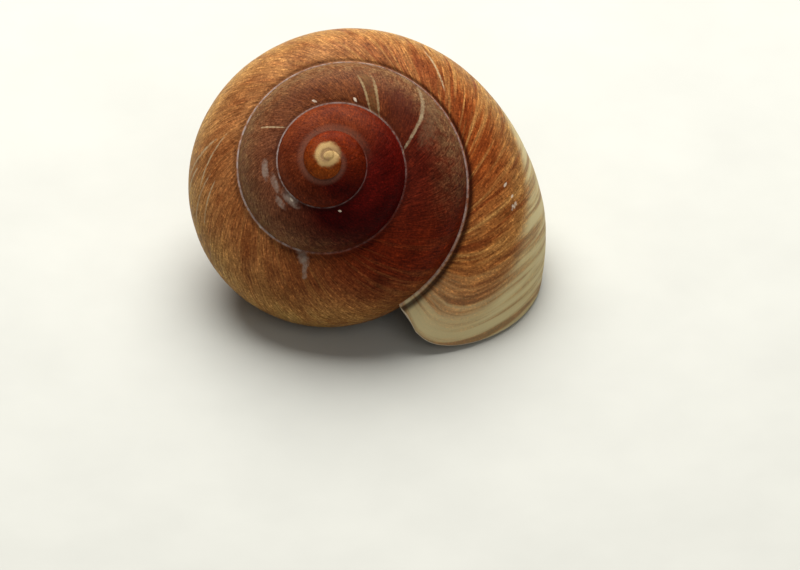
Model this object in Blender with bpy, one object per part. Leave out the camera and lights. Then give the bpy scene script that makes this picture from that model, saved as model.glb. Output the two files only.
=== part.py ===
"""A land snail shell, 45 mm across, lying on the lip of its mouth.

The shell coils to the right. A spiral seam runs from the top of the spire to the lip. Each whorl
starts at that seam, and its outline is part of an ellipse that also passes through the seam one
turn later. Metres, with +Z up and the surface that the shell lies on at z = 0.
"""
import math

import bmesh
import bpy
from mathutils import Matrix, Vector

MM = 0.001

# The seam, with its growth for each turn counted from the place where it has this radius
SEAM_RADIUS = 16.10 * MM
SEAM_GROWTH = 0.553
SEAM_GROWTH_CHANGE = 0.0031
SEAM_GROWTH_LATE = 0.0185
SPIRE_SLOPE = 0.773
SPIRE_DOMING = 0.30
SPIRE_RADIUS = 17.46 * MM

# Places along the coil, in turns from the same place
LIP = 0.18
SEAM_START = LIP - 3.875
TOP_OF_SPIRE = SEAM_START - 1.0

# A whorl's outline as angles round its ellipse, from the seam down to the axis
SEAM_ANGLE = math.radians(82.0)
NEXT_SEAM_ANGLE = math.radians(5.3)
BASE_ANGLE = math.radians(-90.0)
UMBILICUS_ANGLE = math.radians(-180.0)
POLE_ANGLE = math.radians(-270.0)
UMBILICUS_SHARE = 0.075
POLE_DEPTH = 11.5 * MM

# The last whorl narrows and then flares towards the lip: from this turn, to that, and how much
NARROWING = (LIP - 1.0, -0.104, -0.450)
FLARE = (-0.111, 0.161, 0.297)

# The wall, as shares of the seam's radius at that place
WALL = 0.062
COLUMELLA = 0.13
CALLUS = 0.02
ROOF_ANGLE = math.radians(60.0)
CALLUS_END_ANGLE = math.radians(-128.0)
CALLUS_SETBACK = 0.012
CAVITY_TURNS = 1.75

# How the shell lies: spun on its axis, leaned over, and turned on the surface
SPIN = math.radians(6.47)
LEAN = math.radians(43.99)
TURN = math.radians(-9.81)
APEX = Vector((-5.03, -14.02, 26.7)) * MM

# The lip reaches the surface between these turns, and its growth lines slant over this many
LIP_SEARCH = (LIP - 0.3, LIP + 0.06)
LIP_CORNER_EASE = 0.02
SLANT_TURNS = 0.5

# Mesh steps
STEPS_PER_TURN = 48
CAVITY_STEPS_PER_TURN = 24
SPIRE_COLUMNS = 6
SIDE_COLUMNS = 9
BASE_COLUMNS = 7
UMBILICUS_COLUMNS = 3
MERGE_DISTANCE = 0.000002

SHELL_COLOUR = (0.27, 0.085, 0.030, 1.0)
SHELL_ROUGHNESS = 0.38


def blend(value, low, high):
    """Go smoothly from 0 at low to 1 at high."""
    x = min(max((value - low) / (high - low), 0.0), 1.0)
    return x * x * (3.0 - 2.0 * x)


def seam(turn):
    """Radius and height of the seam, with the top of the spire at height 0."""
    growth = SEAM_GROWTH * turn + SEAM_GROWTH_CHANGE * turn ** 2 + SEAM_GROWTH_LATE * turn ** 3
    opening = math.sin(0.5 * math.pi * min(max(turn - SEAM_START, 0.0), 1.0))
    radius = SEAM_RADIUS * math.exp(growth) * opening
    return radius, -SPIRE_SLOPE * radius * (radius / SPIRE_RADIUS) ** SPIRE_DOMING


def whorl(turn):
    """Centre and half sizes of a whorl's ellipse, which passes through the seam above it."""
    radius, height = seam(turn)
    covered = min(turn, LIP - 1.0)
    covered_radius, covered_height = seam(covered)
    next_radius, next_height = seam(covered + 1.0)
    width = (next_radius - covered_radius) / (math.cos(NEXT_SEAM_ANGLE) - math.cos(SEAM_ANGLE))
    depth = (covered_height - next_height) / (math.sin(SEAM_ANGLE) - math.sin(NEXT_SEAM_ANGLE))
    if turn > covered:
        growth = radius / covered_radius
        depth *= growth
        width *= growth * (1.0 + NARROWING[2] * blend(turn, *NARROWING[:2])
                           + FLARE[2] * blend(turn, *FLARE[:2]))
    return (radius - width * math.cos(SEAM_ANGLE), height - depth * math.sin(SEAM_ANGLE),
            width, depth)


def outline(turn, angle, inset=0.0):
    """Radius and height of a point on a whorl's outside, or that far inside its wall."""
    centre, height, width, depth = whorl(turn)
    umbilicus = UMBILICUS_SHARE * seam(turn)[0]
    if angle > BASE_ANGLE:
        radius = centre + (width - inset) * math.cos(angle)
        return radius, height + (depth - inset) * math.sin(angle)
    if angle > UMBILICUS_ANGLE:
        radius = centre + (centre - umbilicus - inset) * math.cos(angle)
        return radius, height + (depth - inset) * math.sin(angle)
    return -umbilicus * math.cos(angle), height - (POLE_DEPTH + height) * math.sin(angle)


def placed(turn, radius, height):
    """World place of a point of the outline at that turn."""
    angle = SPIN - 2.0 * math.pi * turn
    lie = Matrix.Rotation(TURN, 4, "Z") @ Matrix.Rotation(LEAN, 4, "X")
    return APEX + lie @ Vector((radius * math.cos(angle), radius * math.sin(angle), height))


def lip_turn(angle, wall=0.0):
    """Turn where the whorl, followed at one angle of its outline, comes down to the surface."""
    low, high = LIP_SEARCH

    def height_at(turn):
        return placed(turn, *outline(turn, angle, wall * seam(turn)[0])).z

    if height_at(high) > 0.0:
        return LIP
    for _ in range(30):
        middle = 0.5 * (low + high)
        if height_at(middle) > 0.0:
            low = middle
        else:
            high = middle
    return LIP - LIP_CORNER_EASE * math.log1p(math.exp((LIP - low) / LIP_CORNER_EASE))


def slanted(turn, at_lip):
    """Turn of a point on the growth line that starts at the seam at this turn."""
    return turn + blend(turn, LIP - SLANT_TURNS, LIP) * (at_lip - LIP)


def spaced(low, high, count):
    """Evenly spaced values after low, up to high."""
    return [low + (high - low) * (step + 1) / count for step in range(count)]


def callus_angle(angle):
    """Angle on the whorl before, beside the mouth, that faces this angle of its outline."""
    if angle > BASE_ANGLE:
        return angle
    share = (BASE_ANGLE - angle) / (BASE_ANGLE - POLE_ANGLE)
    return BASE_ANGLE + share * (CALLUS_END_ANGLE - BASE_ANGLE)


SPIRE_ANGLES = [SEAM_ANGLE] + spaced(SEAM_ANGLE, NEXT_SEAM_ANGLE, SPIRE_COLUMNS)
BODY_ANGLES = (SPIRE_ANGLES + spaced(NEXT_SEAM_ANGLE, BASE_ANGLE, SIDE_COLUMNS)
               + spaced(BASE_ANGLE, UMBILICUS_ANGLE, BASE_COLUMNS)
               + spaced(UMBILICUS_ANGLE, POLE_ANGLE, UMBILICUS_COLUMNS))
LIP_TURNS = [lip_turn(angle) for angle in BODY_ANGLES]
CAVITY_ANGLES = ([ROOF_ANGLE] + spaced(ROOF_ANGLE, NEXT_SEAM_ANGLE, SPIRE_COLUMNS)
                 + BODY_ANGLES[SPIRE_COLUMNS + 1:])
CAVITY_LIP_TURNS = [lip_turn(max(angle, UMBILICUS_ANGLE), WALL) for angle in CAVITY_ANGLES]
CALLUS_ANGLES = [callus_angle(angle) for angle in BODY_ANGLES[-2:SPIRE_COLUMNS:-1]]


def spire_point(row, column):
    """Outside of the whorls that a later whorl partly covers."""
    turn = TOP_OF_SPIRE + row / STEPS_PER_TURN
    return placed(turn, *outline(turn, SPIRE_ANGLES[column]))


def body_point(row, column):
    """Outside of the last whorl, from the seam round to the bottom of the umbilicus."""
    turn = slanted(LIP - 1.0 + row / STEPS_PER_TURN, LIP_TURNS[column])
    return placed(turn, *outline(turn, BODY_ANGLES[column]))


def cavity_point(row, column):
    """Inside of the tube: the outer wall down to the columella, then up the whorl before."""
    start = LIP - row / CAVITY_STEPS_PER_TURN
    inner = len(CAVITY_ANGLES)
    column = column % (inner + len(CALLUS_ANGLES))
    if column >= inner:
        turn = start - 1.0 - CALLUS_SETBACK
        radius, height = outline(turn, CALLUS_ANGLES[column - inner], -CALLUS * seam(turn)[0])
        return placed(turn, radius, height)
    turn = slanted(start, CAVITY_LIP_TURNS[column])
    angle = CAVITY_ANGLES[column]
    if angle > UMBILICUS_ANGLE:
        return placed(turn, *outline(turn, angle, WALL * seam(turn)[0]))
    radius, height = outline(turn, UMBILICUS_ANGLE, COLUMELLA * seam(turn)[0])
    before = turn - 1.0 - CALLUS_SETBACK
    top = outline(before, CALLUS_END_ANGLE, -CALLUS * seam(before)[0])[1]
    share = (UMBILICUS_ANGLE - angle) / (UMBILICUS_ANGLE - POLE_ANGLE)
    return placed(turn, radius, height + share * (top - height))


def mouth_point(row, column):
    """Rim of the mouth: along the lip and back up the whorl before, joined to the cavity."""
    if row == 1:
        return cavity_point(0, column)
    lip_columns = len(BODY_ANGLES)
    column = column % (lip_columns + len(CALLUS_ANGLES))
    if column < lip_columns:
        return body_point(STEPS_PER_TURN, column)
    return body_point(0, 2 * lip_columns - 2 - column)


def rolled_sheet(mesh, rows, columns, point):
    """Add a flat grid and roll it into the shape that point gives for each row and column."""
    grid = bmesh.ops.create_grid(mesh, x_segments=rows, y_segments=columns, size=0.5)
    for vertex in grid["verts"]:
        row = round((vertex.co.x + 0.5) * rows)
        column = round((vertex.co.y + 0.5) * columns)
        vertex.co = point(row, column)


def shell_mesh():
    """The whole shell as one closed mesh."""
    mesh = bmesh.new()
    around_mouth = len(BODY_ANGLES) + len(CALLUS_ANGLES)
    spire_rows = round((LIP - 1.0 - TOP_OF_SPIRE) * STEPS_PER_TURN)
    rolled_sheet(mesh, spire_rows, SPIRE_COLUMNS, spire_point)
    rolled_sheet(mesh, STEPS_PER_TURN, len(BODY_ANGLES) - 1, body_point)
    rolled_sheet(mesh, 1, around_mouth, mouth_point)
    rolled_sheet(mesh, round(CAVITY_TURNS * CAVITY_STEPS_PER_TURN), around_mouth, cavity_point)
    bmesh.ops.remove_doubles(mesh, verts=mesh.verts, dist=MERGE_DISTANCE)
    bmesh.ops.dissolve_degenerate(mesh, edges=mesh.edges, dist=MERGE_DISTANCE)
    open_edges = [edge for edge in mesh.edges if edge.is_boundary]
    bmesh.ops.holes_fill(mesh, edges=open_edges, sides=0)
    bmesh.ops.triangulate(mesh, faces=mesh.faces, ngon_method="EAR_CLIP")
    bmesh.ops.recalc_face_normals(mesh, faces=mesh.faces)
    data = bpy.data.meshes.new("shell")
    mesh.to_mesh(data)
    mesh.free()
    return data


def shell_material():
    """Brown horny skin over the lime."""
    material = bpy.data.materials.new("shell")
    material.use_nodes = True
    shader = material.node_tree.nodes["Principled BSDF"]
    shader.inputs["Base Color"].default_value = SHELL_COLOUR
    shader.inputs["Roughness"].default_value = SHELL_ROUGHNESS
    shader.inputs["Metallic"].default_value = 0.0
    return material


def main():
    for old in list(bpy.data.objects):
        bpy.data.objects.remove(old)
    collection = bpy.data.collections.new("land_snail_shell")
    bpy.context.scene.collection.children.link(collection)
    data = shell_mesh()
    data.materials.append(shell_material())
    data.shade_smooth()
    data.set_sharp_from_angle(angle=math.radians(40.0))
    collection.objects.link(bpy.data.objects.new("shell", data))


main()
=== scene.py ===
"""The land snail shell, lying on the lip of its mouth on a plain pale floor.

The shell is rolled up from flat sheets by the same growth rule as the model it is set on. Every
point knows its stage of growth, in turns, and its place across the whorl, from 0 at the seam to 1
at the seam one turn later. The relief and the colours follow those two.
"""
import math

import bmesh
import bpy
import numpy as np
from mathutils import Euler, Matrix, Vector


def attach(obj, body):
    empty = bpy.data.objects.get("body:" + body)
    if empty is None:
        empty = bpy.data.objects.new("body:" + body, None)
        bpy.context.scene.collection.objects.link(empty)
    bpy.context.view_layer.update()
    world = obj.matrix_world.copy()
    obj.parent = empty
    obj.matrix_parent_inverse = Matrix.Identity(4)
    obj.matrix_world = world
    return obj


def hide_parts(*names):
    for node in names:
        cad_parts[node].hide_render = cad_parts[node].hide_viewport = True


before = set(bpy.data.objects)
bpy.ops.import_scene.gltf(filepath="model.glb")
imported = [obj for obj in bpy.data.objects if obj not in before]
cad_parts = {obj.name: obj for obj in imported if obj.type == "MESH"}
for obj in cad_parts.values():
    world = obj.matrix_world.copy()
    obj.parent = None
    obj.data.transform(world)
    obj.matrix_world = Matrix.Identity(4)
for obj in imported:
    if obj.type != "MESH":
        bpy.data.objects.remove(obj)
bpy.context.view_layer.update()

MM = 0.001

# The growth rule, with the names and values of the model
SEAM_RADIUS = 16.10 * MM
SEAM_GROWTH = 0.553
SEAM_GROWTH_CHANGE = 0.0031
SEAM_GROWTH_LATE = 0.0185
SPIRE_SLOPE = 0.773
SPIRE_DOMING = 0.30
SPIRE_RADIUS = 17.46 * MM
LIP = 0.18
SEAM_START = LIP - 3.875
TOP_OF_SPIRE = SEAM_START - 1.0
SEAM_ANGLE = math.radians(82.0)
NEXT_SEAM_ANGLE = math.radians(5.3)
BASE_ANGLE = math.radians(-90.0)
UMBILICUS_ANGLE = math.radians(-180.0)
POLE_ANGLE = math.radians(-270.0)
UMBILICUS_SHARE = 0.075
POLE_DEPTH = 11.5 * MM
NARROWING = (LIP - 1.0, -0.104, -0.450)
FLARE = (-0.111, 0.161, 0.297)
WALL = 0.062
COLUMELLA = 0.13
CALLUS = 0.02
ROOF_ANGLE = math.radians(60.0)
CALLUS_END_ANGLE = math.radians(-128.0)
CALLUS_SETBACK = 0.012
CAVITY_TURNS = 1.75
SPIN = math.radians(6.47)
LEAN = math.radians(43.99)
TURN = math.radians(-9.81)
APEX = Vector((-5.03, -14.02, 26.7)) * MM
LIP_SEARCH = (LIP - 0.3, LIP + 0.06)
LIP_CORNER_EASE = 0.02
SLANT_TURNS = 0.5

# How finely the sheets are divided
STEPS_PER_TURN = 336
CAVITY_STEPS_PER_TURN = 56
RIM_STEPS = 8
WELD_DISTANCE = 0.000000005

# Growth lines lag by this many turns where they reach the next seam, and by a share more past it
GROWTH_LAG = 0.10
LAG_BEND = 0.7
LAG_FADE = 0.4

# How many turns before the lip the growth lines begin to follow it
LIP_REGION = 0.16

# How many turns behind the lip the inside begins
INSIDE_START = 0.002

# How far the rounding of the lip reaches
LIP_ROUNDING = 0.45 * MM

CAMERA_ELEVATION = math.radians(36.0)
CAMERA_DISTANCE = 2.5
VIEW_WIDTH = 0.09975
VIEW_CENTRE = (9.13 * MM, -15.8 * MM)

# Colours of the skin by growth stage, in turns: partly the skin's own maroon and tan, partly painted
# light and shade. The dark stops at -2.75, -1.95 to -1.72 and -0.97 to -0.80 are painted shade on the
# lower side of each whorl, and the lighter stops between them on its top.
WHORL_COLOURS_AND_PAINTED_SHADE = [
    (-3.60, (0.200, 0.040, 0.005)),
    (-3.10, (0.140, 0.016, 0.002)),
    (-2.75, (0.044, 0.002, 0.0007)),
    (-2.50, (0.120, 0.024, 0.008)),
    (-2.20, (0.150, 0.028, 0.007)),
    (-1.95, (0.072, 0.003, 0.0014)),
    (-1.72, (0.035, 0.0009, 0.0007)),
    (-1.50, (0.138, 0.047, 0.022)),
    (-1.22, (0.120, 0.035, 0.010)),
    (-0.97, (0.090, 0.010, 0.004)),
    (-0.80, (0.100, 0.010, 0.002)),
    (-0.55, (0.280, 0.106, 0.033)),
    (-0.25, (0.275, 0.116, 0.038)),
    (0.00, (0.225, 0.048, 0.009)),
    (0.12, (0.350, 0.135, 0.035)),
]

# Marks on the skin: growth stage, place across, half width in turns, half length across, lean
CHECK_BAND = [(-1.1375, 0.25, 0.0120, 0.30, 0.0)]
GROWTH_CHECKS = [(-1.1500, 0.22, 0.0028, 0.26, -0.006), (-1.1255, 0.26, 0.0032, 0.28, -0.006)]
DARK_WEDGE = [(-1.0700, 0.27, 0.0300, 0.30, 0.0)]
SCAR_BLOOM = [(-1.0120, 0.60, 0.0200, 0.36, -0.020)]
REPAIR_SCAR = [(-1.0330, 0.62, 0.0044, 0.30, -0.022), (-1.0285, 0.22, 0.0034, 0.24, -0.004)]
PALE_STREAKS = [(-0.4300, 0.37, 0.0026, 0.17, -0.110), (-0.4085, 0.56, 0.0024, 0.24, 0.0),
                (-0.4560, 0.58, 0.0020, 0.22, -0.020), (-0.4750, 0.45, 0.0018, 0.16, -0.050),
                (-0.4200, 0.74, 0.0020, 0.16, 0.0), (-0.0840, 0.40, 0.0024, 0.19, -0.045),
                (-1.3725, 0.22, 0.0024, 0.19, 0.035)]
BLEACHED_PATCHES = [(-0.6830, 0.06, 0.0085, 0.09, 0.055), (-0.6760, 0.17, 0.0036, 0.12, 0.080),
                    (-1.6000, 0.07, 0.0290, 0.070, 0.0), (-1.4775, 0.21, 0.0200, 0.055, 0.0),
                    (-1.5290, 0.12, 0.0220, 0.050, 0.0), (-1.5700, 0.22, 0.0160, 0.050, 0.0)]
CHIPS = [(0.0840, 0.490, 0.0026, 0.034, 0.0), (0.0589, 0.406, 0.0016, 0.022, 0.0),
         (0.0745, 0.470, 0.0014, 0.016, 0.0), (-1.2732, 0.095, 0.0036, 0.028, 0.0),
         (-1.1806, 0.080, 0.0036, 0.028, 0.0), (-1.7634, 0.110, 0.0045, 0.022, 0.0),
         (-0.5990, 0.012, 0.0040, 0.016, 0.0), (-1.6060, 0.060, 0.0060, 0.016, 0.0)]

# Each kind of mark with its colour, its strength and how soft its edge is
SKIN_MARKS = [
    (CHECK_BAND, (0.150, 0.090, 0.030, 1.0), 0.40, 1.20),
    (DARK_WEDGE, (0.056, 0.010, 0.005, 1.0), 0.60, 1.20),
    (SCAR_BLOOM, (0.170, 0.105, 0.055, 1.0), 0.40, 1.20),
    (GROWTH_CHECKS, (0.290, 0.205, 0.100, 1.0), 0.85, 0.90),
    (REPAIR_SCAR, (0.320, 0.240, 0.140, 1.0), 0.85, 0.90),
    (PALE_STREAKS, (0.400, 0.290, 0.160, 1.0), 0.85, 0.80),
    (BLEACHED_PATCHES, (0.290, 0.220, 0.175, 1.0), 0.80, 1.40),
    (CHIPS, (0.640, 0.540, 0.420, 1.0), 0.90, 0.40),
]

# How clearly the pale thread along the seam shows, by growth stage
THREAD_CLEARNESS = [(-2.10, 0.0), (-1.90, 0.25), (-1.70, 0.30), (-1.55, 0.80), (-1.40, 0.80),
                    (-1.20, 0.50), (-1.02, 0.35), (-0.90, 0.10), (-0.73, 0.20), (-0.62, 1.00),
                    (-0.35, 1.00), (-0.20, 0.65), (0.00, 0.75), (0.18, 0.60)]

# Middle of the pale top of the spire
NUCLEUS_CENTRE = tuple(APEX + Vector((0.05, 0.40, 0.44)) * MM)


def blend(value, low, high):
    """Go smoothly from 0 at low to 1 at high."""
    x = np.clip((value - low) / (high - low), 0.0, 1.0)
    return x * x * (3.0 - 2.0 * x)


def seam(turn):
    """Radius and height of the seam, with the top of the spire at height 0."""
    growth = SEAM_GROWTH * turn + SEAM_GROWTH_CHANGE * turn ** 2 + SEAM_GROWTH_LATE * turn ** 3
    opening = np.sin(0.5 * math.pi * np.clip(turn - SEAM_START, 0.0, 1.0))
    radius = SEAM_RADIUS * np.exp(growth) * opening
    return radius, -SPIRE_SLOPE * radius * (radius / SPIRE_RADIUS) ** SPIRE_DOMING


def whorl(turn):
    """Centre and half sizes of a whorl's ellipse, which passes through the seam above it."""
    radius, height = seam(turn)
    covered = np.minimum(turn, LIP - 1.0)
    covered_radius, covered_height = seam(covered)
    next_radius, next_height = seam(covered + 1.0)
    width = (next_radius - covered_radius) / (math.cos(NEXT_SEAM_ANGLE) - math.cos(SEAM_ANGLE))
    depth = (covered_height - next_height) / (math.sin(SEAM_ANGLE) - math.sin(NEXT_SEAM_ANGLE))
    growth = radius / np.maximum(covered_radius, 1e-9)
    shape = 1.0 + NARROWING[2] * blend(turn, *NARROWING[:2]) + FLARE[2] * blend(turn, *FLARE[:2])
    late = turn > covered
    depth = np.where(late, depth * growth, depth)
    width = np.where(late, width * growth * shape, width)
    return (radius - width * math.cos(SEAM_ANGLE), height - depth * math.sin(SEAM_ANGLE),
            width, depth)


def outline(turn, angle, inset=0.0):
    """Radius and height of points on a whorl's outside, or that far inside its wall."""
    centre, height, width, depth = whorl(turn)
    umbilicus = UMBILICUS_SHARE * seam(turn)[0]
    side = centre + (width - inset) * np.cos(angle)
    base = centre + (centre - umbilicus - inset) * np.cos(angle)
    level = height + (depth - inset) * np.sin(angle)
    funnel = -umbilicus * np.cos(angle)
    funnel_level = height - (POLE_DEPTH + height) * np.sin(angle)
    radius = np.where(angle > BASE_ANGLE, side, np.where(angle > UMBILICUS_ANGLE, base, funnel))
    return radius, np.where(angle > UMBILICUS_ANGLE, level, funnel_level)


def placed(turn, radius, height):
    """World places of points of the outline at those turns."""
    angle = SPIN - 2.0 * math.pi * turn
    lie = np.array(Matrix.Rotation(TURN, 3, "Z") @ Matrix.Rotation(LEAN, 3, "X"))
    upright = np.stack(np.broadcast_arrays(radius * np.cos(angle), radius * np.sin(angle), height),
                       axis=-1)
    return upright @ lie.T + np.array(APEX)


def lip_turn(angle, wall=0.0):
    """Turn where the whorl, followed at one angle of its outline, comes down to the surface."""
    low = np.full(angle.shape, LIP_SEARCH[0])
    high = np.full(angle.shape, LIP_SEARCH[1])
    clear = placed(high, *outline(high, angle, wall * seam(high)[0]))[..., 2] > 0.0
    for _ in range(30):
        middle = 0.5 * (low + high)
        above = placed(middle, *outline(middle, angle, wall * seam(middle)[0]))[..., 2] > 0.0
        low = np.where(above, middle, low)
        high = np.where(above, high, middle)
    eased = LIP - LIP_CORNER_EASE * np.log1p(np.exp((LIP - low) / LIP_CORNER_EASE))
    return np.where(clear, LIP, eased)


def slanted(turn, at_lip):
    """Turn of points on the growth line that starts at the seam at this turn."""
    return turn + blend(turn, LIP - SLANT_TURNS, LIP) * (at_lip - LIP)


def spaced(low, high, count):
    """Evenly spaced values after low, up to high."""
    return list(low + (high - low) * np.arange(1, count + 1) / count)


def across(angle):
    """Place across the whorl: 0 at the seam above it and 1 at the seam one turn later."""
    return (SEAM_ANGLE - angle) / (SEAM_ANGLE - NEXT_SEAM_ANGLE)


def growth_stage(turn, angle, lip_at):
    """Growth stage of points: the same all along a growth line, and LIP all along the lip."""
    place = np.maximum(across(angle), 0.0)
    further = LAG_BEND * LAG_FADE * (1.0 - np.exp(np.minimum(1.0 - place, 0.0) / LAG_FADE))
    lag = GROWTH_LAG * (np.minimum(place, 1.0) ** LAG_BEND + further)
    near_lip = blend(turn, LIP - LIP_REGION, LIP)
    return turn + lag + near_lip * (LIP - lip_at - lag)


def callus_angle(angle):
    """Angle on the whorl before, beside the mouth, that faces this angle of its outline."""
    share = np.maximum(BASE_ANGLE - angle, 0.0) / (BASE_ANGLE - POLE_ANGLE)
    return np.where(angle > BASE_ANGLE, angle, BASE_ANGLE + share * (CALLUS_END_ANGLE - BASE_ANGLE))


# Angles round the outline, close together beside the seams where the thread and groove are
SEAM_PLACES = [0.0, 0.007, 0.014, 0.022, 0.032, 0.044, 0.058, 0.075, 0.1]
BAND_PLACES = SEAM_PLACES + spaced(0.1, 0.9, 20) + [0.925, 0.95, 0.97, 0.985, 1.0]
BAND_ANGLES = [SEAM_ANGLE - place * (SEAM_ANGLE - NEXT_SEAM_ANGLE) for place in BAND_PLACES]
BODY_ANGLES = np.array(BAND_ANGLES + spaced(NEXT_SEAM_ANGLE, BASE_ANGLE, 34)
                       + spaced(BASE_ANGLE, UMBILICUS_ANGLE, 24)
                       + spaced(UMBILICUS_ANGLE, POLE_ANGLE, 10))
BAND_ANGLES = np.array(BAND_ANGLES)
CAVITY_ANGLES = np.array(list(ROOF_ANGLE + (BAND_ANGLES - SEAM_ANGLE)
                              * (ROOF_ANGLE - NEXT_SEAM_ANGLE) / (SEAM_ANGLE - NEXT_SEAM_ANGLE))
                         + list(BODY_ANGLES[len(BAND_ANGLES):]))
CALLUS_OUTER_ANGLES = BODY_ANGLES[-2:len(BAND_ANGLES) - 1:-1]
CALLUS_ANGLES = callus_angle(CALLUS_OUTER_ANGLES)
LIP_TURNS = lip_turn(BODY_ANGLES)
CAVITY_LIP_TURNS = lip_turn(np.maximum(CAVITY_ANGLES, UMBILICUS_ANGLE), WALL)


def ripples(stage, place, count, seed):
    """Smooth uneven ripples from 0 to 1 that run along the growth lines, so many to a turn."""
    random = np.random.default_rng(seed)
    heights = random.random(4096)
    at = stage * count + 0.35 * np.sin(place * 5.0 + stage * 9.0) + 2000.0
    step = np.floor(at).astype(int)
    part = at - step
    part = part * part * (3.0 - 2.0 * part)
    return heights[step % 4096] * (1.0 - part) + heights[(step + 1) % 4096] * part


def bump_at(value, centre, half):
    """A soft bump of height 1 at the centre, gone at that distance on both sides."""
    return blend(1.0 - np.abs(value - centre) / half, 0.0, 1.0)


def skin_relief(turn, angle, stage):
    """How far the outside stands proud, in metres: growth folds, the seam's thread and groove."""
    place = across(angle)
    size = seam(np.maximum(turn, SEAM_START + 0.3))[0] / SEAM_RADIUS
    folds = 0.055 * ripples(stage, place, 34.0, 11) + 0.045 * ripples(stage, place, 75.0, 12)
    late = 0.6 + 0.7 * blend(stage, -0.4, 0.1) + 0.9 * blend(stage, 0.08, 0.16)
    away = blend(place, 0.02, 0.12) * blend(place, 3.6, 3.0)
    covered = blend(turn, LIP - 0.92, LIP - 1.02)
    away = away * (1.0 - covered * blend(place, 0.93, 1.0))
    full_grown = blend(stage, -3.0, -2.2)
    thread = 0.05 * bump_at(place, 0.012, 0.012) * full_grown
    deep = 0.5 + 1.1 * blend(stage, -0.30, 0.05)
    groove = 0.16 * bump_at(place, 0.044, 0.030) * full_grown * deep
    lap = 0.03 * bump_at(place, 0.975, 0.025) * covered
    relief = size * (thread - groove + lap - folds * late * away)
    return relief * blend(stage, LIP, LIP - 0.012) * MM


def rim_setback(turn, angle):
    """How many turns before the lip the rounding of the lip begins, none at the seam."""
    radius = outline(turn, angle)[0]
    setback = np.minimum(LIP_ROUNDING / (2.0 * math.pi * np.maximum(radius, 1.0 * MM)), 0.02)
    return setback * blend(across(angle), 0.0, 0.12)


def rolled_sheet(name, places, stage, place, relief, material):
    """A flat sheet rolled into the shape of those places, which carries its growth and relief."""
    rows, columns = places.shape[0] - 1, places.shape[1] - 1
    bpy.ops.object.select_all(action="DESELECT")
    bpy.ops.mesh.primitive_grid_add(x_subdivisions=rows, y_subdivisions=columns, size=2.0,
                                    calc_uvs=True)
    sheet = bpy.context.object
    sheet.name = name
    mesh = sheet.data
    flat = np.empty(len(mesh.vertices) * 3)
    mesh.vertices.foreach_get("co", flat)
    flat = flat.reshape(-1, 3)
    row = np.rint((flat[:, 0] + 1.0) * 0.5 * rows).astype(int)
    column = np.rint((flat[:, 1] + 1.0) * 0.5 * columns).astype(int)
    mesh.vertices.foreach_set("co", places[row, column].astype(np.float32).ravel())
    corner = np.empty(len(mesh.loops), dtype=np.int32)
    mesh.loops.foreach_get("vertex_index", corner)
    grown = np.stack([stage[row, column][corner], place[row, column][corner]], axis=-1)
    layer = mesh.uv_layers[0]
    layer.name = "growth"
    layer.data.foreach_set("uv", grown.astype(np.float32).ravel())
    raised = mesh.attributes.new("relief", "FLOAT", "POINT")
    raised.data.foreach_set("value", relief[row, column].astype(np.float32))
    mesh.materials.append(material)
    return sheet


def spire_sheet(material):
    """Outside of the whorls that a later whorl partly covers."""
    rows = round((LIP - 1.0 - TOP_OF_SPIRE) * STEPS_PER_TURN)
    turn = np.linspace(TOP_OF_SPIRE, LIP - 1.0, rows + 1)[:, None]
    turn, angle = np.broadcast_arrays(turn, BAND_ANGLES[None, :])
    stage = growth_stage(turn, angle, LIP_TURNS[None, :len(BAND_ANGLES)])
    relief = skin_relief(turn, angle, stage)
    return rolled_sheet("spire", placed(turn, *outline(turn, angle)), stage, across(angle), relief,
                        material)


def body_turns():
    """Turns of the body's points, by row and column, up to where the rounded lip begins."""
    start = np.linspace(LIP - 1.0, LIP, STEPS_PER_TURN + 1)[:, None]
    ends = LIP_TURNS - rim_setback(LIP_TURNS, BODY_ANGLES)
    return slanted(start, ends[None, :])


def body_sheet(material):
    """Outside of the last whorl, from the seam round to the bottom of the umbilicus."""
    turn = body_turns()
    turn, angle = np.broadcast_arrays(turn, BODY_ANGLES[None, :])
    stage = growth_stage(turn, angle, LIP_TURNS[None, :])
    relief = skin_relief(turn, angle, stage)
    return rolled_sheet("last_whorl", placed(turn, *outline(turn, angle)), stage, across(angle),
                        relief, material)


def cavity_places(start):
    """Places of the inside of the tube at those turns: the outer wall, then the whorl before."""
    start = np.asarray(start)[:, None]
    at_lip = CAVITY_LIP_TURNS[None, :]
    turn = slanted(start, at_lip)
    angle = CAVITY_ANGLES[None, :]
    wall = WALL * seam(turn)[0]
    outer = placed(turn, *outline(turn, np.maximum(angle, UMBILICUS_ANGLE), wall))
    radius, height = outline(turn, np.full_like(turn, UMBILICUS_ANGLE), COLUMELLA * seam(turn)[0])
    before = turn - 1.0 - CALLUS_SETBACK
    top = outline(before, np.full_like(turn, CALLUS_END_ANGLE), -CALLUS * seam(before)[0])[1]
    share = np.clip((UMBILICUS_ANGLE - angle) / (UMBILICUS_ANGLE - POLE_ANGLE), 0.0, 1.0)
    pillar = placed(turn, radius, height + share * (top - height))
    tube = np.where((angle > UMBILICUS_ANGLE)[..., None], outer, pillar)
    before = start - 1.0 - CALLUS_SETBACK
    facing = CALLUS_ANGLES[None, :]
    before, facing = np.broadcast_arrays(before, facing)
    callus = placed(before, *outline(before, facing, -CALLUS * seam(before)[0]))
    return np.concatenate([tube, callus, tube[:, :1]], axis=1)


def ring_across(columns):
    """Place round the mouth, from 0 at the seam corner to 1 back at it."""
    return np.linspace(0.0, 1.0, columns)[None, :]


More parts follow.
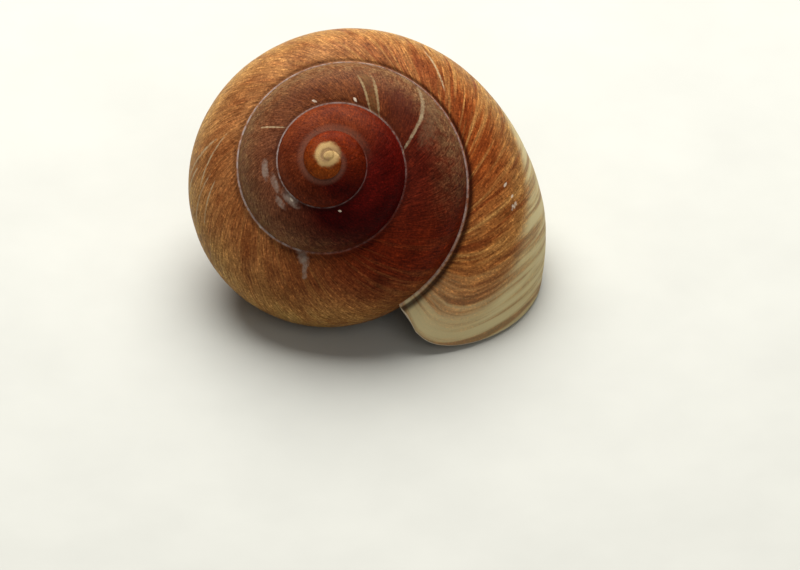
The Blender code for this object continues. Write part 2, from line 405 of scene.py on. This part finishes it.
def cavity_sheet(material):
    """Inside of the tube, from behind the lip to the flat wall that closes it off."""
    rows = round(CAVITY_TURNS * CAVITY_STEPS_PER_TURN)
    start = np.linspace(LIP, LIP - CAVITY_TURNS, rows + 1)
    start[0] -= INSIDE_START
    places = cavity_places(start)
    middle = places[-1].mean(axis=0)
    wall = [middle + share * (places[-1] - middle) for share in (0.75, 0.5, 0.25, 0.0)]
    places = np.concatenate([places, wall])
    shape = places.shape[:2]
    start = np.concatenate([start, np.full(len(wall), start[-1])])
    stage = np.broadcast_to(start[:, None], shape)
    around = np.broadcast_to(ring_across(shape[1]), shape)
    return rolled_sheet("inside", places, stage, around, np.zeros(shape), material)


def rim_sheet(material):
    """The rounded lip, and the thin edge of the callus on the whorl before."""
    ends = LIP_TURNS - rim_setback(LIP_TURNS, BODY_ANGLES)
    lip_outer = placed(ends, *outline(ends, BODY_ANGLES))
    before = np.full(CALLUS_ANGLES.shape, LIP - 1.0)
    callus_outer = placed(before, *outline(before, CALLUS_OUTER_ANGLES))
    outer = np.concatenate([lip_outer, callus_outer, lip_outer[:1]])
    crest_outer = np.concatenate([placed(LIP_TURNS, *outline(LIP_TURNS, BODY_ANGLES)),
                                  callus_outer])
    crest_outer = np.concatenate([crest_outer, crest_outer[:1]])
    crest = 0.5 * (crest_outer + cavity_places([LIP])[0])
    inner = cavity_places([LIP - INSIDE_START])[0]
    middle = 0.5 * (outer + inner)
    bend = np.linspace(0.0, math.pi, RIM_STEPS + 1)[:, None, None]
    places = middle + np.cos(bend) * (outer - middle) + np.sin(bend) * (crest - middle)
    shape = places.shape[:2]
    stage = np.full(shape, LIP)
    around = np.broadcast_to(ring_across(shape[1]), shape)
    return rolled_sheet("lip", places, stage, around, np.zeros(shape), material)


def sewn_together(sheets, name):
    """Weld the sheets into one closed shell."""
    bpy.ops.object.select_all(action="DESELECT")
    for sheet in sheets:
        sheet.select_set(True)
    bpy.context.view_layer.objects.active = sheets[0]
    bpy.ops.object.join()
    shell = bpy.context.object
    shell.name = name
    shell.data.name = name
    mesh = bmesh.new()
    mesh.from_mesh(shell.data)
    bmesh.ops.remove_doubles(mesh, verts=mesh.verts, dist=WELD_DISTANCE)
    bmesh.ops.dissolve_degenerate(mesh, edges=mesh.edges, dist=WELD_DISTANCE)
    bmesh.ops.recalc_face_normals(mesh, faces=mesh.faces)
    mesh.to_mesh(shell.data)
    mesh.free()
    return shell


def raised(shell):
    """Move each point along its normal by its relief."""
    mesh = shell.data
    count = len(mesh.vertices)
    places = np.empty(count * 3, dtype=np.float32)
    normals = np.empty(count * 3, dtype=np.float32)
    relief = np.empty(count, dtype=np.float32)
    mesh.vertices.foreach_get("co", places)
    mesh.vertex_normals.foreach_get("vector", normals)
    mesh.attributes["relief"].data.foreach_get("value", relief)
    moved = places.reshape(-1, 3) + normals.reshape(-1, 3) * relief[:, None]
    mesh.vertices.foreach_set("co", moved.ravel())
    mesh.attributes.remove(mesh.attributes["relief"])
    mesh.update()
    bpy.ops.object.select_all(action="DESELECT")
    shell.select_set(True)
    bpy.context.view_layer.objects.active = shell
    bpy.ops.object.shade_smooth_by_angle(angle=math.radians(50.0))


def node(tree, kind, inputs, output=0, **settings):
    """Add a node, set it, and wire or set its inputs by number or name."""
    made = tree.nodes.new("ShaderNode" + kind)
    for name, value in settings.items():
        setattr(made, name, value)
    for name, value in inputs.items():
        if isinstance(value, bpy.types.NodeSocket):
            tree.links.new(value, made.inputs[name])
        else:
            made.inputs[name].default_value = value
    return made.outputs[output]


def maths(tree, operation, first, second=0.0, third=0.0):
    """One sum on one, two or three values."""
    return node(tree, "Math", {0: first, 1: second, 2: third}, operation=operation)


def times(tree, first, second):
    """Multiply two shares."""
    return maths(tree, "MULTIPLY", first, second)


def between(tree, value, low, high, start=0.0, end=1.0):
    """Go smoothly from start where the value is low to end where it is high."""
    return node(tree, "MapRange", {0: value, 1: low, 2: high, 3: start, 4: end},
                interpolation_type="SMOOTHSTEP")


def tinted(tree, share, under, over, way="MIX"):
    """Lay one colour over another by that share."""
    return node(tree, "Mix", {0: share, 6: under, 7: over}, output=2, data_type="RGBA",
                blend_type=way, clamp_factor=True)


def noise(tree, vector, scale, detail=2.0, roughness=0.5, distortion=0.0):
    """Soft uneven patches, from about 0.25 to 0.75."""
    return node(tree, "TexNoise", {"Vector": vector, "Scale": scale, "Detail": detail,
                                   "Roughness": roughness, "Distortion": distortion})


def colours_along(tree, value, stops):
    """Colours that follow a value from 0 to 1."""
    made = tree.nodes.new("ShaderNodeValToRGB")
    tree.links.new(value, made.inputs[0])
    ramp = made.color_ramp
    ramp.interpolation = "EASE"
    while len(ramp.elements) < len(stops):
        ramp.elements.new(0.5)
    for element, (place, colour) in zip(ramp.elements, stops):
        element.position = place
    for element, (place, colour) in zip(ramp.elements, stops):
        element.color = (*colour, 1.0)
    return made.outputs[0]


def marked(tree, stage, place, rough, mark, soft):
    """How much of a mark shows: centre stage and place, half sizes, and lean across the whorl."""
    at_stage, at_place, half_stage, half_place, lean = mark
    off_place = maths(tree, "SUBTRACT", place, at_place)
    off_stage = maths(tree, "SUBTRACT", stage, at_stage)
    off_stage = maths(tree, "MULTIPLY_ADD", off_place, -lean, off_stage)
    across_it = maths(tree, "ABSOLUTE", maths(tree, "DIVIDE", off_stage, half_stage))
    along_it = maths(tree, "ABSOLUTE", maths(tree, "DIVIDE", off_place, half_place))
    across_it = maths(tree, "POWER", across_it, 2.0)
    along_it = maths(tree, "POWER", along_it, 4.0)
    reach = maths(tree, "ADD", maths(tree, "ADD", across_it, along_it), rough)
    return between(tree, reach, 0.75 + soft, 0.75 - soft)


def along_growth(tree, stage, place, per_turn, over, detail, roughness):
    """Soft lines along the growth lines, about so many to a turn and so many across the whorl."""
    vector = node(tree, "CombineXYZ", {0: times(tree, stage, per_turn),
                                       1: times(tree, place, over)})
    return noise(tree, vector, 1.0, detail, roughness)


def shaded(tree, colour, value, low, high, share, tone):
    """Multiply the colour by a tone, up to that share, as the value goes from low to high."""
    return tinted(tree, between(tree, value, low, high, 0.0, share), colour, (*tone, 1.0),
                  "MULTIPLY")


def colours_by_stage(tree, stage, low, high, stops):
    """Colours that follow the growth stage from low to high."""
    along = node(tree, "MapRange", {0: stage, 1: low, 2: high})
    return colours_along(tree, along, [((at - low) / (high - low), tone) for at, tone in stops])


def new_material(name):
    """A new material, with its node tree and its shader."""
    material = bpy.data.materials.new(name)
    material.use_nodes = True
    tree = material.node_tree
    return material, tree, tree.nodes["Principled BSDF"]


def growth_of(tree):
    """Growth stage and place across the whorl, as the sheets carry them."""
    growth = node(tree, "UVMap", {}, uv_map="growth")
    split = tree.nodes.new("ShaderNodeSeparateXYZ")
    tree.links.new(growth, split.inputs[0])
    return split.outputs[0], split.outputs[1]


def spot_of(tree):
    """Place on the object."""
    return node(tree, "TexCoord", {}, output=3)


def skin_patterns(tree, stage, place, spot):
    """Soft uneven patterns that the colours and the fine relief of the skin follow."""
    return {
        "streaks": along_growth(tree, stage, place, 110.0, 0.9, 3.0, 0.55),
        "hairs": along_growth(tree, stage, place, 400.0, 8.0, 3.0, 0.7),
        "broad": along_growth(tree, stage, place, 14.0, 1.6, 3.0, 0.6),
        "blotches": noise(tree, spot, 300.0, 3.0, 0.6),
        "mottle": noise(tree, spot, 900.0, 4.0, 0.65),
        "grain": noise(tree, spot, 3600.0, 2.0, 0.6),
        "wear": noise(tree, spot, 1100.0, 3.0, 0.7),
    }


def skin_tones(tree, stage, place, pattern):
    """The colours of each stage, with painted shade on the lower side of each whorl, painted sheen on
    the top of the whorl before the last, olive towards the edge and streaks towards the lip.
    """
    on_body = between(tree, stage, -0.90, -0.60)
    # Base colours by stage, with painted shade on the lower side of each whorl and lighter tops
    colour = colours_by_stage(tree, stage, -3.6, 0.2, WHORL_COLOURS_AND_PAINTED_SHADE)
    colour = shaded(tree, colour, pattern["broad"], 0.42, 0.66, 0.8, (0.66, 0.54, 0.48))
    colour = shaded(tree, colour, pattern["blotches"], 0.46, 0.34, 0.7, (1.30, 1.34, 1.30))
    colour = shaded(tree, colour, pattern["blotches"], 0.52, 0.66, 0.7, (0.70, 0.58, 0.52))

    olive = times(tree, between(tree, place, 0.25, 0.95), between(tree, stage, -0.80, -0.56))
    olive = times(tree, olive, between(tree, pattern["blotches"], 0.34, 0.62, 0.90, 0.50))
    olive = times(tree, olive, between(tree, place, 1.05, 1.60, 1.0, 0.45))
    colour = tinted(tree, olive, colour, (0.370, 0.226, 0.070, 1.0))

    late = times(tree, between(tree, stage, -0.35, 0.02, 0.30, 1.0), on_body)
    pale_streak = times(tree, between(tree, pattern["streaks"], 0.51, 0.66, 0.0, 0.70), late)
    colour = tinted(tree, pale_streak, colour, (0.390, 0.195, 0.058, 1.0))
    red_streak = times(tree, between(tree, pattern["streaks"], 0.49, 0.35, 0.0, 0.75), late)
    colour = tinted(tree, red_streak, colour, (0.150, 0.028, 0.006, 1.0))

    # Painted sheen: a greyish-tan haze laid on the upper part of the whorl before the last, where
    # light from above falls on it
    painted_sheen = times(tree, between(tree, place, 0.20, 0.85), between(tree, stage, -0.84, -0.96))
    painted_sheen = times(tree, painted_sheen, between(tree, stage, -1.78, -1.42))
    painted_sheen = times(tree, painted_sheen, between(tree, pattern["mottle"], 0.35, 0.65, 0.30, 0.85))
    return tinted(tree, painted_sheen, colour, (0.180, 0.102, 0.045, 1.0))


def fine_grain(tree, colour, pattern):
    """Fine light and dark hairs and grains."""
    colour = shaded(tree, colour, pattern["hairs"], 0.50, 0.70, 0.9, (1.90, 1.95, 1.90))
    colour = shaded(tree, colour, pattern["hairs"], 0.50, 0.30, 0.9, (0.46, 0.38, 0.36))
    colour = shaded(tree, colour, pattern["grain"], 0.52, 0.72, 0.9, (1.70, 1.75, 1.70))
    return shaded(tree, colour, pattern["grain"], 0.48, 0.28, 0.9, (0.55, 0.50, 0.50))


def pale_lip(tree, colour, stage, place, streaks):
    """The pale band where the lip was still growing."""
    outer = between(tree, place, 0.45, 0.95, 0.0, 0.12)
    lip_share = between(tree, maths(tree, "ADD", stage, outer), 0.110, 0.180)
    clean = maths(tree, "MAXIMUM", between(tree, streaks, 0.38, 0.58, 0.30, 0.95),
                  between(tree, place, 1.10, 1.80, 0.0, 0.72))
    lip_share = times(tree, lip_share, clean)
    return tinted(tree, lip_share, colour, (0.590, 0.500, 0.270, 1.0))


def pale_top(tree, colour, spot, wear):
    """The worn pale top of the spire, with a darker ring in it."""
    from_apex = node(tree, "VectorMath", {0: spot, 1: NUCLEUS_CENTRE}, output=1,
                     operation="DISTANCE")
    from_apex = maths(tree, "MULTIPLY_ADD", maths(tree, "SUBTRACT", wear, 0.5), 0.8 * MM, from_apex)
    nucleus = between(tree, from_apex, 1.95 * MM, 1.30 * MM, 0.0, 0.95)
    colour = tinted(tree, nucleus, colour, (0.520, 0.340, 0.140, 1.0))
    eye = times(tree, between(tree, from_apex, 0.98 * MM, 0.84 * MM),
                between(tree, from_apex, 0.60 * MM, 0.78 * MM, 0.35, 1.0))
    return tinted(tree, times(tree, eye, 0.7), colour, (0.240, 0.150, 0.050, 1.0))


def marks_on_skin(tree, colour, stage, place, spot, wear):
    """Growth checks, the old mend, bleached patches, streaks and chips."""
    rough = maths(tree, "MULTIPLY_ADD", noise(tree, spot, 2300.0, 2.0, 0.6), 3.2, -1.6)
    worn = between(tree, wear, 0.36, 0.54, 0.50, 1.0)
    for marks, tone, strength, soft in SKIN_MARKS:
        for mark in marks:
            shows = times(tree, marked(tree, stage, place, rough, mark, soft), worn)
            colour = tinted(tree, times(tree, shows, strength), colour, tone)
    return colour


def seam_lines(tree, colour, stage, place, wear):
    """Painted shadow in the groove along the seam, and the pale thread on its edge."""
    crisp = between(tree, stage, -2.20, -1.90)
    soft_seam = times(tree, between(tree, place, 0.20, 0.05),
                      between(tree, crisp, 0.0, 1.0, 0.40, 0.0))
    colour = tinted(tree, soft_seam, colour, (0.200, 0.090, 0.060, 1.0))
    # Painted shadow: the groove beside the seam is darkened, more strongly towards the lip, where the
    # whorl above overhangs it
    groove = times(tree, between(tree, place, 0.014, 0.032), between(tree, place, 0.085, 0.045))
    groove = times(tree, groove, between(tree, stage, -0.35, 0.05, 0.35, 0.85))
    groove = times(tree, groove, crisp)
    colour = tinted(tree, groove, colour, (0.018, 0.004, 0.003, 1.0))
    thread = times(tree, between(tree, place, 0.028, 0.008),
                   between(tree, wear, 0.32, 0.62, 0.15, 1.0))
    clearness = [(at, (share,) * 3) for at, share in THREAD_CLEARNESS]
    clear = colours_by_stage(tree, stage, -2.1, 0.2, clearness)
    thread = times(tree, thread, clear)
    return tinted(tree, thread, colour, (0.420, 0.345, 0.320, 1.0))


def skin_material():
    """The horny brown skin: maroon up the spire, rusty and streaked with tan towards the lip."""
    material, tree, shader = new_material("horny_skin")
    stage, place = growth_of(tree)
    spot = spot_of(tree)
    pattern = skin_patterns(tree, stage, place, spot)

    colour = skin_tones(tree, stage, place, pattern)
    colour = fine_grain(tree, colour, pattern)
    colour = pale_lip(tree, colour, stage, place, pattern["streaks"])
    colour = pale_top(tree, colour, spot, pattern["wear"])
    colour = marks_on_skin(tree, colour, stage, place, spot, pattern["wear"])
    colour = seam_lines(tree, colour, stage, place, pattern["wear"])
    tree.links.new(colour, shader.inputs["Base Color"])

    gloss = between(tree, pattern["mottle"], 0.3, 0.7, 0.40, 0.56)
    tree.links.new(gloss, shader.inputs["Roughness"])
    shader.inputs["IOR"].default_value = 1.5
    shader.inputs["Specular IOR Level"].default_value = 0.03

    height = maths(tree, "MULTIPLY_ADD", pattern["streaks"], 1.2, times(tree, pattern["hairs"], 0.60))
    height = maths(tree, "MULTIPLY_ADD", pattern["mottle"], 0.15, height)
    bump = node(tree, "Bump", {"Height": height, "Strength": 0.5, "Distance": 0.00014})
    tree.links.new(bump, shader.inputs["Normal"])
    return material


def inside_material():
    """The smooth lime of the lip and the inside, milky at the lip and browner further in."""
    material, tree, shader = new_material("smooth_inside")
    stage = growth_of(tree)[0]
    spot = spot_of(tree)
    cloud = noise(tree, spot, 220.0, 3.0, 0.55)
    depth = maths(tree, "MULTIPLY_ADD", cloud, 0.10, maths(tree, "SUBTRACT", LIP, stage))
    along = node(tree, "MapRange", {0: depth, 1: 0.04, 2: 0.60})
    colour = colours_along(tree, along, [
        (0.00, (0.600, 0.500, 0.360)),
        (0.10, (0.520, 0.380, 0.260)),
        (0.35, (0.330, 0.190, 0.120)),
        (1.00, (0.160, 0.070, 0.045)),
    ])
    tree.links.new(colour, shader.inputs["Base Color"])
    tree.links.new(between(tree, cloud, 0.3, 0.7, 0.22, 0.34), shader.inputs["Roughness"])
    ripple = noise(tree, spot, 900.0, 2.0, 0.5)
    bump = node(tree, "Bump", {"Height": ripple, "Strength": 0.2, "Distance": 0.00008})
    tree.links.new(bump, shader.inputs["Normal"])
    return material


def floor_material():
    """Plain pale matt floor."""
    material, tree, shader = new_material("pale_floor")
    spot = spot_of(tree)
    soft = noise(tree, spot, 60.0, 3.0, 0.6)
    colour = colours_along(tree, soft, [(0.0, (0.47, 0.47, 0.43)), (1.0, (0.52, 0.52, 0.475))])
    tree.links.new(colour, shader.inputs["Base Color"])
    shader.inputs["Roughness"].default_value = 0.9
    return material


def make_shell():
    """The whole shell as one closed piece in place of the model's."""
    skin = skin_material()
    inside = inside_material()
    sheets = [spire_sheet(skin), body_sheet(skin), rim_sheet(inside), cavity_sheet(inside)]
    shell = sewn_together(sheets, "snail_shell")
    raised(shell)
    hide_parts("shell")
    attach(shell, "root")
    return shell


def make_floor():
    """A wide pale floor that the shell lies on."""
    bpy.ops.object.select_all(action="DESELECT")
    bpy.ops.mesh.primitive_plane_add(size=4.0, location=(0.0, 0.0, 0.0))
    floor = bpy.context.object
    floor.name = "floor"
    floor.data.materials.append(floor_material())


def soft_light(name, place, target, size, power, colour=(1.0, 1.0, 1.0)):
    """A wide soft lamp that faces the target."""
    data = bpy.data.lights.new(name, "AREA")
    data.shape = "DISK"
    data.size = size
    data.energy = power
    data.color = colour
    lamp = bpy.data.objects.new(name, data)
    lamp.location = place
    lamp.rotation_euler = (Vector(target) - Vector(place)).to_track_quat("-Z", "Y").to_euler()
    bpy.context.collection.objects.link(lamp)


def set_light():
    """Soft daylight from above and behind, and a little from all round."""
    middle = (0.0, 0.0, 0.012)
    soft_light("sky", (-0.03, 0.22, 0.42), middle, 0.55, 5.6, (1.0, 0.99, 0.97))
    soft_light("front", (0.15, -0.40, 0.30), middle, 0.40, 0.5, (1.0, 0.99, 0.97))
    world = bpy.data.worlds.new("daylight")
    bpy.context.scene.world = world
    world.use_nodes = True
    background = world.node_tree.nodes["Background"]
    background.inputs[0].default_value = (1.0, 1.0, 0.98, 1.0)
    background.inputs[1].default_value = 0.13


def set_camera():
    """Look along +Y and down, with the shell left of the middle and above it."""
    right = Vector((1.0, 0.0, 0.0))
    up = Vector((0.0, math.sin(CAMERA_ELEVATION), math.cos(CAMERA_ELEVATION)))
    back = Vector((0.0, -math.cos(CAMERA_ELEVATION), math.sin(CAMERA_ELEVATION)))
    target = APEX + right * VIEW_CENTRE[0] + up * VIEW_CENTRE[1]
    data = bpy.data.cameras.new("camera")
    data.sensor_width = 36.0
    data.lens = 36.0 * CAMERA_DISTANCE / VIEW_WIDTH
    data.clip_start = 0.01
    camera = bpy.data.objects.new("camera", data)
    camera.location = target + back * CAMERA_DISTANCE
    camera.rotation_euler = Euler((math.radians(90.0) - CAMERA_ELEVATION, 0.0, 0.0))
    bpy.context.collection.objects.link(camera)
    bpy.context.scene.camera = camera
    bpy.context.scene.view_settings.view_transform = "Standard"


make_shell()
make_floor()
set_light()
set_camera()
